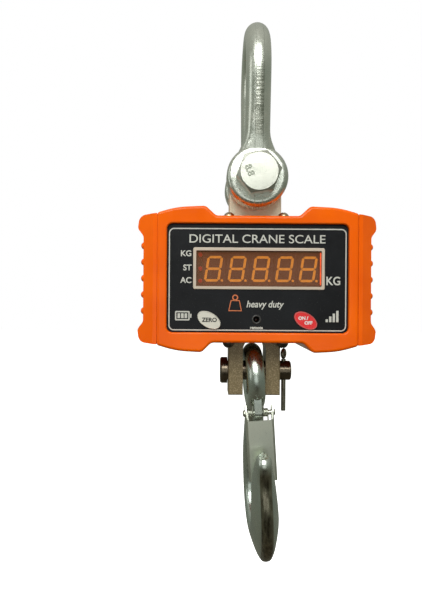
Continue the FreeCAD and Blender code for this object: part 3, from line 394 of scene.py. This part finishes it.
def forged_hook():
    """The hook's plating, with painted dark reflection on the ridge that runs down its front."""
    shade = zinc("zinc_hook", HOOK_ZINC, HOOK_ZINC_COOL, (0.20, 0.36))
    points = [vertex.co for vertex in NODES["hook"].data.vertices]
    foot = min(point.z for point in points)
    low = foot + RIDGE_LOW
    tip = foot + RIDGE_TIP
    start, lean = ridge_line(points, low, foot + RIDGE_HIGH)
    line = shade.product(shade.maths("SUBTRACT", shade.along("Z"), low), lean)
    across = shade.maths("SUBTRACT", shade.maths("SUBTRACT", shade.along("X"), start), line)
    band = shade.ranged(shade.maths("ABSOLUTE", across), *RIDGE_SIDE)
    front = shade.ranged(shade.along("Y"), *RIDGE_FRONT)
    below = shade.ranged(shade.along("Z"), tip, tip - RIDGE_TIP_FADE)
    mask = shade.product(band, front, below)
    streaks = shade.noise(1.0, 4.0, 0.3, shade.stretched((420, 420, 70)))
    # painted dark reflection: the ridge is coloured dark with lighter streaks
    shade.repaint(mask, shade.mixed(shade.ranged(streaks, 0.30, 0.62), RIDGE_REFLECTION_DARK, RIDGE_REFLECTION_LIGHT))
    shade.bump(shade.product(streaks, mask), 0.4, 0.0003)
    return shade.material


def turned_steel(name, color, roughness, scale):
    """Turned or rolled steel with a few dull spots, and fine lines where scale is high."""
    shade = Shade(name, color, roughness, 1.0)
    lines = shade.noise(1.0, 2.0, 0.0, shade.stretched(scale))
    spots = shade.ranged(shade.noise(240.0, 3.0), 0.45, 0.7)
    shade.color(shade.mixed(spots, color, darker(color, 0.6)))
    shade.rough(shade.ranged(lines, 0.3, 0.7, roughness * 0.7, roughness * 1.4))
    shade.bump(lines, 0.25, 0.00005)
    shade.bump(shade.noise(700.0, 2.0), 0.15, 0.0001)
    return shade.material


def hammered_paint():
    """Metallic beige hammered paint, in painted light above and painted shade below mid-housing."""
    shade = Shade("block_paint", PAINT_LIT, 0.42, 0.35, Coat_Weight=0.2, Coat_Roughness=0.25)
    middle = middle_of("front_cover")[2]
    # painted light and painted shade: shaded colours below the housing's middle, lit colours above
    share = shade.ranged(shade.along("Z"), middle - PAINT_SHADE_FADE, middle + PAINT_SHADE_FADE)
    base = shade.mixed(share, PAINT_SHADED, PAINT_LIT)
    pale = shade.mixed(share, PAINT_PALE_SHADED, PAINT_PALE_LIT)
    speckle = shade.ranged(shade.noise(1500.0, 3.0), 0.5, 0.68)
    worn = shade.product(shade.edges(0.6 * MM), shade.ranged(shade.noise(500.0, 4.0), 0.45, 0.6))
    shade.color(shade.mixed(worn, shade.mixed(speckle, base, pale), CHIPPED))
    shade.bump(shade.cells(850.0), 0.22, 0.00025)
    shade.bump(shade.noise(2200.0, 2.0), 0.2, 0.0001)
    return shade.material


def panel_black():
    """Satin black foil with a faint haze and dust."""
    shade = Shade("panel_black", PANEL_BLACK, 0.36, Specular_IOR_Level=0.18)
    dust = shade.ranged(shade.noise(1400.0, 2.0), 0.66, 0.74)
    haze = shade.ranged(shade.noise(40.0, 3.0), 0.35, 0.8)
    base = shade.mixed(haze, PANEL_BLACK, PANEL_HAZE)
    shade.color(shade.mixed(shade.product(dust, 0.35), base, PANEL_DUST))
    shade.rough(shade.ranged(shade.noise(160.0, 4.0), 0.3, 0.8, 0.28, 0.46))
    shade.bump(shade.noise(3200.0, 2.0), 0.12, 0.00005)
    return shade.material


def plastic(name, color, roughness=0.4):
    """Moulded plastic or rubber with a fine grain and slightly uneven colour and gloss."""
    shade = Shade(name, color, roughness)
    cloud = shade.ranged(shade.noise(70.0, 4.0), 0.3, 0.75)
    shade.color(shade.mixed(cloud, color, darker(color, 0.88)))
    gloss = shade.noise(260.0, 4.0)
    shade.rough(shade.ranged(gloss, 0.3, 0.8, roughness * 0.8, roughness * 1.25))
    shade.bump(shade.noise(2400.0, 2.0), 0.12, 0.00006)
    return shade.material


def printed_ink():
    """Pale screen print that is a little thin in places."""
    shade = Shade("printed_ink", PRINT, 0.5)
    thin = shade.ranged(shade.noise(1800.0, 3.0), 0.35, 0.7)
    shade.color(shade.mixed(thin, PRINT, darker(PRINT, 0.78)))
    shade.bump(shade.noise(3000.0, 1.0), 0.1, 0.00003)
    return shade.material


def smoked_window():
    """Red-brown sheet that lets the modules behind it show through."""
    shade = Shade("smoked_window", SMOKE, 0.07, Alpha=0.42, Specular_IOR_Level=0.3)
    uneven = shade.noise(35.0, 2.0)
    shade.color(shade.mixed(shade.ranged(uneven, 0.3, 0.7), SMOKE, darker(SMOKE, 0.82)))
    shade.rough(shade.ranged(shade.noise(300.0, 3.0), 0.3, 0.8, 0.05, 0.12))
    return shade.material


def glowing(name, color, strength, roughness=0.35, scale=300.0, low=0.6):
    """Coloured plastic with a weak light of its own, uneven across the piece down to low."""
    shade = Shade(name, color, roughness)
    tone = shade.mixed(shade.ranged(shade.noise(scale, 2.0), 0.3, 0.75), color, darker(color, low))
    shade.color(tone)
    shade.link(tone, shade.shader.inputs["Emission Color"])
    shade.set("Emission Strength", strength)
    return shade.material


def circuit_board():
    shade = Shade("circuit_board", BOARD_GREEN, 0.35)
    tracks = shade.cells(420.0, "DISTANCE_TO_EDGE")
    shade.color(shade.mixed(shade.ranged(tracks, 0.04, 0.09), TRACK_GREEN, BOARD_GREEN))
    shade.bump(tracks, 0.1, 0.00005)
    return shade.material


# ------------------------------------------------------------------ mesh tools
def middle_of(node):
    """Middle X, front Y and middle Z of a node's box."""
    low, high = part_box(node)
    return (low.x + high.x) / 2, low.y, (low.z + high.z) / 2


def mesh_object(name, build, material):
    """A new mesh object built by a bmesh function, with a material."""
    work = bmesh.new()
    build(work)
    bmesh.ops.recalc_face_normals(work, faces=work.faces)
    mesh = bpy.data.meshes.new(name)
    work.to_mesh(mesh)
    work.free()
    mesh.materials.append(material)
    piece = bpy.data.objects.new(name, mesh)
    bpy.context.scene.collection.objects.link(piece)
    return piece


def mesh_piece(name, build, material, body, smooth=False):
    """A mesh object that rides on a body."""
    piece = mesh_object(name, build, material)
    for face in piece.data.polygons:
        face.use_smooth = smooth
    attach(piece, body)


def join_rings(work, first, second):
    for number in range(len(first)):
        after = (number + 1) % len(first)
        work.faces.new((first[number], first[after], second[after], second[number]))


def flat_band(work, outer, inner, front, back):
    """Closed flat band between two outlines of equal length in XZ, from front to back in Y."""
    rings = []
    for outline, y in ((outer, back), (outer, front), (inner, front), (inner, back)):
        rings.append([work.verts.new((x, y, z)) for x, z in outline])
    for first, second in zip(rings, rings[1:] + rings[:1]):
        join_rings(work, first, second)


def flat_plate(work, outline, front, back):
    """Closed flat plate with an outline in XZ, from front to back in Y."""
    rings = [[work.verts.new((x, y, z)) for x, z in outline] for y in (back, front)]
    join_rings(work, *rings)
    work.faces.new(rings[1])
    work.faces.new(list(reversed(rings[0])))


def round_rectangle(x0, x1, z0, z1, radius, steps=8):
    """Outline of a rounded rectangle in XZ."""
    corners = ((x1 - radius, z1 - radius, 0), (x0 + radius, z1 - radius, 90),
               (x0 + radius, z0 + radius, 180), (x1 - radius, z0 + radius, 270))
    points = []
    for centre_x, centre_z, start in corners:
        for step in range(steps + 1):
            angle = math.radians(start + 90 * step / steps)
            x = centre_x + radius * math.cos(angle)
            z = centre_z + radius * math.sin(angle)
            points.append((x, z))
    return points


def oval(x, z, a, b, tilt=0, steps=48):
    """Outline of an oval in XZ whose long axis falls to the right by tilt degrees."""
    cos = math.cos(math.radians(-tilt))
    sin = math.sin(math.radians(-tilt))
    points = []
    for step in range(steps):
        angle = 2 * math.pi * step / steps
        u = a * math.cos(angle)
        v = b * math.sin(angle)
        points.append((x + u * cos - v * sin, z + u * sin + v * cos))
    return points


def lettering(name, words, place, height, material, body, width=None, bold=0.0, align="CENTER"):
    """Raised print that looks along -Y; place is its middle and height is that of a capital."""
    curve = bpy.data.curves.new(name, "FONT")
    curve.body = words
    curve.align_x = align
    curve.align_y = "CENTER"
    curve.size = height / CAPITAL
    curve.offset = bold
    curve.extrude = 0.04 * MM
    curve.resolution_u = 6
    curve.materials.append(material)
    piece = bpy.data.objects.new(name, curve)
    bpy.context.scene.collection.objects.link(piece)
    piece.rotation_euler = (math.pi / 2, 0, 0)
    piece.location = place
    bpy.context.view_layer.update()
    if width:
        piece.scale.x = width / piece.dimensions.x
    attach(piece, body)
    return piece


# ------------------------------------------------------------------ front panel
def ink_band(work, outer, inner, face):
    flat_band(work, outer, inner, face - INK_RISE, face + INK_RISE)


def panel_details(ink):
    """Border line and words printed on the black panel."""
    low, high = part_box("face_panel")
    middle_x, face, _ = middle_of("face_panel")
    bezel_low, bezel_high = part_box("display_bezel")
    lamps_low, lamps_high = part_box("indicator_leds")

    def border(work):
        left, right = low.x + BORDER_EDGE, high.x - BORDER_EDGE
        bottom, top = low.z + BORDER_EDGE, high.z - BORDER_TOP
        outer = round_rectangle(left, right, bottom, top, BORDER_R)
        inner = round_rectangle(left + BORDER_LINE, right - BORDER_LINE,
                                bottom + BORDER_LINE, top - BORDER_LINE, BORDER_INNER_R)
        ink_band(work, outer, inner, face)

    mesh_piece("panel_border", border, ink, "scale_body")

    width, height = TITLE_SIZE
    place = (middle_x - 0.5 * MM, face, bezel_high.z + 6.4 * MM)
    lettering("title_print", "DIGITAL CRANE SCALE", place, height, ink, "scale_body",
              width, 0.03 * MM)

    lamp_r = (lamps_high.x - lamps_low.x) / 2
    rows = (("KG", lamps_high.z - lamp_r),
            ("ST", bezel_low.z + 16.3 * MM),
            ("AC", lamps_low.z + lamp_r))
    for words, z in rows:
        place = (bezel_low.x - 1.2 * MM, face, z)
        lettering("label_" + words.lower(), words, place, LABEL_HEIGHT, ink, "scale_body",
                  bold=0.14 * MM, align="RIGHT")

    width, height = UNIT_SIZE
    place = (bezel_high.x + 6.6 * MM, face, bezel_low.z + 6.6 * MM)
    lettering("unit_print", "KG", place, height, ink, "scale_body", width, 0.16 * MM)


def panel_emblem(ink, accent):
    """A plain picture of a weight with a ring beside a slanted word, in the middle of the panel."""
    x, face, _ = middle_of("face_panel")
    x -= 17 * MM
    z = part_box("display_bezel")[0].z - 10.6 * MM

    def weight(work):
        half = 5.2 * MM
        top_half = half * 0.66
        foot = z - 6.0 * MM
        top = foot + 8.4 * MM
        heart = z - 1.8 * MM
        outline = [(x - half, foot), (x + half, foot), (x + top_half, top), (x - top_half, top)]
        inset = [(x + (px - x) * 0.84, heart + (pz - heart) * 0.84) for px, pz in outline]
        ink_band(work, outline, inset, face)
        ring, hole = (oval(x, z + 4.4 * MM, r, r, steps=40) for r in (2.3 * MM, 1.4 * MM))
        ink_band(work, ring, hole, face)

    mesh_piece("panel_weight_mark", weight, accent, "scale_body")
    width, height = WORD_SIZE
    place = (x + 22.5 * MM, face, z - 0.8 * MM)
    word = lettering("duty_print", "heavy duty", place, height, ink, "scale_body", width, 0.12 * MM)
    word.data.shear = 0.22


def panel_pictograms(ink):
    """A battery at the left corner and rising signal bars at the right corner, in plain outline."""
    low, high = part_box("face_panel")
    face = low.y
    z = low.z + 12.5 * MM
    left = low.x + 12.5 * MM
    right = high.x - 12.0 * MM
    step = 2.7 * MM

    def marks(work):
        outer = round_rectangle(left - 6.2 * MM, left + 5.0 * MM,
                                z - 3.6 * MM, z + 3.6 * MM, 0.8 * MM, 3)
        inner = round_rectangle(left - 5.2 * MM, left + 4.0 * MM,
                                z - 2.6 * MM, z + 2.6 * MM, 0.3 * MM, 3)
        ink_band(work, outer, inner, face)
        plates = [(left + 5.4 * MM, left + 6.4 * MM, z - 1.5 * MM, z + 1.5 * MM)]
        for number in range(3):
            start = left - 4.3 * MM + number * step
            plates.append((start, start + 2.0 * MM, z - 1.8 * MM, z + 1.8 * MM))
        for number in range(4):
            start = right - 5.0 * MM + number * step
            top = z - 2.0 * MM + number * 2.2 * MM
            plates.append((start, start + 1.8 * MM, z - 4.2 * MM, top))
        for plate in plates:
            outline = round_rectangle(*plate, 0.2 * MM, 2)
            flat_plate(work, outline, face - INK_RISE, face + INK_RISE)

    mesh_piece("panel_pictograms", marks, ink, "scale_body")


def receiver_details(ink, dark):
    """Raised rim of the remote receiver, and the word under it."""
    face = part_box("face_panel")[0].y
    x, _, z = middle_of("ir_receiver")

    def rim(work):
        outer, inner = (oval(x, z, r, r) for r in (RECEIVER_R, RECEIVER_HOLE_R))
        flat_band(work, outer, inner, face - 0.25 * MM, face + 0.1 * MM)

    mesh_piece("receiver_rim", rim, dark, "scale_body", smooth=True)
    place = (x, face, z - 6.4 * MM)
    lettering("receiver_print", "remote", place, REMOTE_HEIGHT, ink, "scale_body", bold=0.12 * MM)


# ------------------------------------------------------------------ display
# The bars of a digit: where the middle is, across and up as shares of its half sizes, and whether
# the bar stands upright.  Top, middle, bottom, then the upper and the lower pair.
SEGMENTS = (
    (0, 1, False), (0, 0, False), (0, -1, False),
    (-1, 0.5, True), (1, 0.5, True), (-1, -0.5, True), (1, -0.5, True),
)


def bar_outline(x, z, length, upright):
    """Outline of a bar with pointed ends around x and z; length is half of the whole."""
    tip = DIGIT_BAR
    flat = [(-length, 0), (-length + tip, tip), (length - tip, tip),
            (length, 0), (length - tip, -tip), (-length + tip, -tip)]
    points = [(-v, u) if upright else (u, v) for u, v in flat]
    return [(x + u, z + v) for u, v in points]


def display_digits(amber):
    """Seven slanted bars and a point on the face of each display module."""
    low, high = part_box("digit_modules")
    middle_z = (low.z + high.z) / 2
    pitch = (high.x - low.x - MODULE_WIDTH) / (DIGITS - 1)
    front = low.y - DIGIT_FRONT
    back = low.y + DIGIT_BACK

    def digits(work):
        for number in range(DIGITS):
            centre = low.x + MODULE_WIDTH / 2 + number * pitch - 0.6 * MM
            for across, up, upright in SEGMENTS:
                length = (DIGIT_HALF_H / 2 if upright else DIGIT_HALF_W) - DIGIT_GAP
                outline = bar_outline(across * DIGIT_HALF_W, up * DIGIT_HALF_H, length, upright)
                slanted = [(centre + u + v * DIGIT_SLANT, middle_z + v) for u, v in outline]
                flat_plate(work, slanted, front, back)
            point_x = centre + DIGIT_HALF_W + 2.1 * MM - DIGIT_HALF_H * DIGIT_SLANT * 0.6
            point = oval(point_x, middle_z - DIGIT_HALF_H, DIGIT_BAR, DIGIT_BAR, steps=24)
            flat_plate(work, point, front, back)

    mesh_piece("display_segments", digits, amber, "scale_body")


def display_glow(material):
    """Thin lit edge of the window's coloured sheet, along its right side."""
    low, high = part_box("display_window")
    x = high.x - 0.75 * MM
    half = 0.45 * MM
    inset = 1.2 * MM
    face = low.y - 0.06 * MM

    def edge(work):
        outline = round_rectangle(x - half, x + half, low.z + inset, high.z - inset, 0.2 * MM, 3)
        flat_plate(work, outline, face, face + 0.1 * MM)

    mesh_piece("display_lit_edge", edge, material, "scale_body")


# ------------------------------------------------------------------ keys and bolt
def key_details(node, body, words, height, rim_material, word_material):
    """Rim and words on the face of one oval key."""
    x, face, z = middle_of(node)

    def rim(work):
        outer, inner = (oval(x, z, *size, KEY_TILT, 72) for size in (KEY_RIM, KEY_FACE))
        flat_band(work, outer, inner, face - 0.04 * MM, face + 0.7 * MM)

    mesh_piece(node + "_rim", rim, rim_material, body, smooth=True)
    for row, (word, shift_x, shift_z) in enumerate(words):
        place = (x + shift_x, face, z + shift_z)
        lettering(f"{node}_print_{row}", word, place, height, word_material, body, bold=0.16 * MM)


def bolt_mark(material):
    """The strength grade that stands raised on the bolt's head."""
    x, face, z = middle_of("shackle_bolt")
    place = (x - 7.6 * MM, face, z + 0.6 * MM)
    mark = lettering("bolt_grade", "8.8", place, GRADE_HEIGHT, material, "shackle",
                     bold=0.12 * MM)
    mark.data.extrude = 0.45 * MM
    mark.data.bevel_depth = 0.10 * MM
    mark.rotation_euler = (math.pi / 2, math.radians(GRADE_TURN), 0)


# ------------------------------------------------------------------ stage, light, camera
def stage():
    """Pale floor below the object, which brightens into the white room around it."""
    floor = CAD_BOX[0][2] - FLOOR_GAP
    shade = Shade("floor_paper", FLOOR_COLOR, 0.9)
    shade.set("Emission Color", (*WHITE, 1.0))
    squares = [shade.product(shade.along(axis), shade.along(axis)) for axis in "XY"]
    distance = shade.maths("SQRT", shade.maths("ADD", *squares))
    glow = shade.ranged(distance, FLOOR_DIM[0], FLOOR_WHITE[0], FLOOR_DIM[1], FLOOR_WHITE[1])
    shade.link(glow, shade.shader.inputs["Emission Strength"])
    shade.bump(shade.noise(60.0), 0.05, 0.001)

    def square(work):
        corners = ((-1, -1), (1, -1), (1, 1), (-1, 1))
        points = [(FLOOR_HALF * x, FLOOR_HALF * y, floor) for x, y in corners]
        work.faces.new([work.verts.new(point) for point in points])

    plane = mesh_object("floor", square, shade.material)
    plane.visible_glossy = False
    plane.visible_diffuse = False


def room():
    """A room that is white to the eye, and that lights the object softly.

    Seen from the object it is dim below, grey around, bright above and dark low in front.
    """
    world = bpy.data.worlds.new("studio")
    bpy.context.scene.world = world
    world.use_nodes = True
    tree = Tree(world.node_tree)
    direction = tree.node("ShaderNodeTexCoord").outputs["Generated"]
    height = tree.part(direction, "Z")

    ramp = tree.node("ShaderNodeValToRGB")
    tree.link(tree.ranged(height, -1.0, 1.0), ramp.inputs["Fac"])
    stops = ramp.color_ramp.elements
    stops[0].color = (*ROOM_BELOW, 1.0)
    stops[1].color = (*ROOM_ABOVE, 1.0)
    stops.new(0.5).color = (*ROOM_AROUND, 1.0)

    front = tree.ranged(tree.part(direction, "Y"), *FRONT_SPAN)
    low_front = tree.product(front, tree.ranged(height, *LOW_SPAN))
    seen_by_object = tree.mixed(low_front, ramp.outputs["Color"], ROOM_FRONT)
    seen_directly = tree.node("ShaderNodeLightPath").outputs["Is Camera Ray"]
    color = tree.mixed(seen_directly, seen_by_object, WHITE)
    tree.link(color, tree.tree.nodes["Background"].inputs["Color"])


def soft_box(name, place, target, width, height, power, mirrored):
    """A soft box; where mirrored is False it lights the object but shows no reflection."""
    light = bpy.data.lights.new(name, "AREA")
    light.shape = "RECTANGLE"
    light.size = width
    light.size_y = height
    light.energy = power
    lamp = bpy.data.objects.new(name, light)
    bpy.context.scene.collection.objects.link(lamp)
    lamp.location = place
    lamp.visible_glossy = mirrored
    lamp.rotation_euler = (target - Vector(place)).to_track_quat("-Z", "Y").to_euler()


def lighting(eye_height):
    """The room, a large soft box above in front, and others low in front, beside and behind."""
    room()
    target = Vector((0, 0, eye_height))
    for name, x, y, above, width, height, power, mirrored in SOFT_BOXES:
        soft_box(name, (x, y, eye_height + above), target, width, height, power, mirrored)


def camera(eye_height):
    lens = bpy.data.cameras.new("camera")
    lens.lens = CAMERA_LENS
    lens.sensor_width = SENSOR_WIDTH
    lens.clip_start = 0.01
    eye = bpy.data.objects.new("camera", lens)
    bpy.context.scene.collection.objects.link(eye)
    eye.location = (CAMERA_X, CAMERA_Y, eye_height)
    eye.rotation_euler = (math.pi / 2, math.radians(CAMERA_ROLL), 0)
    bpy.context.scene.camera = eye


# ------------------------------------------------------------------ everything together
def dress(material, *names):
    """Give CAD nodes their material."""
    for name in names:
        data = NODES[name].data
        data.materials.clear()
        data.materials.append(material)


def dress_steel():
    """Shackle, block, pin, hook and the small steel parts."""
    bolt_zinc = zinc("zinc_bolt", BOLT_ZINC, BOLT_ZINC_COOL, (0.28, 0.42), 0.7)
    sheet_zinc = zinc("zinc_sheet", SHEET_ZINC, SHEET_ZINC_COOL, (0.30, 0.44), 0.2)
    dress(forged_bow(), "shackle_bow")
    dress(bolt_zinc.material, "shackle_bolt", "shackle_nut", "shackle_washer", "shackle_cotter")
    dress(hammered_paint(), "load_cell")
    dress(turned_steel("steel_pin", STEEL_PIN, 0.25, (1800, 60, 60)), "hook_pin")
    dress(turned_steel("steel_wire", STEEL_WIRE, 0.3, (60, 60, 60)), "split_pin")
    dress(forged_hook(), "hook")
    dress(sheet_zinc.material, "latch", "latch_rivet", "latch_spring")
    dress(turned_steel("steel_screw", STEEL_SCREW, 0.28, (400, 400, 400)),
          "top_screws", "wall_washers", "cover_screws", "grip_screws", "bracket_screws",
          "board_screws", "door_screws", "front_bracket", "rear_bracket", "charge_socket")
    dress(turned_steel("steel_black", STEEL_BLACK, 0.35, (400, 400, 400)), "bottom_screws")
    dress(turned_steel("plate_metal", STEEL_PLATE, 0.35, (60, 60, 900)),
          "rating_plate", "gauge_covers")


def dress_housing(cream):
    """Housing, panel, display and keys."""
    dress(orange_plastic(), "front_cover", "rear_cover", "left_grip", "right_grip", "battery_door")
    dress(panel_black(), "face_panel")
    dress(cream, "zero_button")
    dress(plastic("red_plastic", RED, 0.28), "power_button")
    dress(plastic("bezel_plastic", BEZEL, 0.35), "display_bezel")
    dress(smoked_window(), "display_window")
    dress(plastic("module_face", MODULE, 0.5), "digit_modules")
    dress(glowing("lamp_red", LAMP_RED, 0.5), "indicator_leds")


def dress_inside():
    """Boards, battery, leads and seals."""
    dress(circuit_board(), "display_board", "main_board")
    dress(plastic("black_plastic", BLACK, 0.45), "display_components",
          "main_components", "button_switches", "ir_receiver", "battery_tray")
    dress(plastic("black_rubber", RUBBER, 0.7), "block_seals", "cover_gasket",
          "socket_cap", "sensor_lead", "battery_lead", "display_lead", "battery_pad")
    dress(plastic("battery_wrap", BATTERY_BLUE, 0.3), "battery")
    dress(plastic("gauge_foil", GAUGE_BROWN, 0.3), "strain_gauges")


def add_details(cream):
    """Print on the panel, what the display shows, rims and words on the keys, the bolt's grade."""
    ink = printed_ink()
    panel_details(ink)
    panel_emblem(ink, plastic("mark_orange", MARK_ORANGE, 0.5))
    panel_pictograms(ink)
    receiver_details(ink, plastic("receiver_rim", RECEIVER_DARK, 0.3))
    display_digits(glowing("display_segment", AMBER, 1.2, 0.4, 500.0, 0.75))
    display_glow(glowing("lit_edge", LIT_EDGE, 0.5))
    key_details("zero_button", "zero_key", [("ZERO", 0.4 * MM, 0.0)], ZERO_HEIGHT,
                cream, plastic("dark_ink", INK_DARK, 0.5))
    key_details("power_button", "power_key",
                [("ON /", -2.0 * MM, 1.8 * MM), ("OFF", 2.0 * MM, -1.8 * MM)], POWER_HEIGHT,
                plastic("key_rim_red", KEY_RIM_RED, 0.4),
                plastic("white_ink", INK_WHITE, 0.5))
    # painted shade: the raised grade is coloured darker than the bolt's head
    bolt_mark(zinc("zinc_shaded_mark", MARK_ZINC_SHADED, MARK_ZINC_COOL_SHADED).material)


def main():
    eye_height = middle_of("front_cover")[2] - CAMERA_DROP
    camera(eye_height)
    stage()
    lighting(eye_height)
    bpy.context.scene.view_settings.view_transform = "Standard"

    cream = plastic("cream_plastic", CREAM, 0.35)
    dress_steel()
    dress_housing(cream)
    dress_inside()
    add_details(cream)


main()
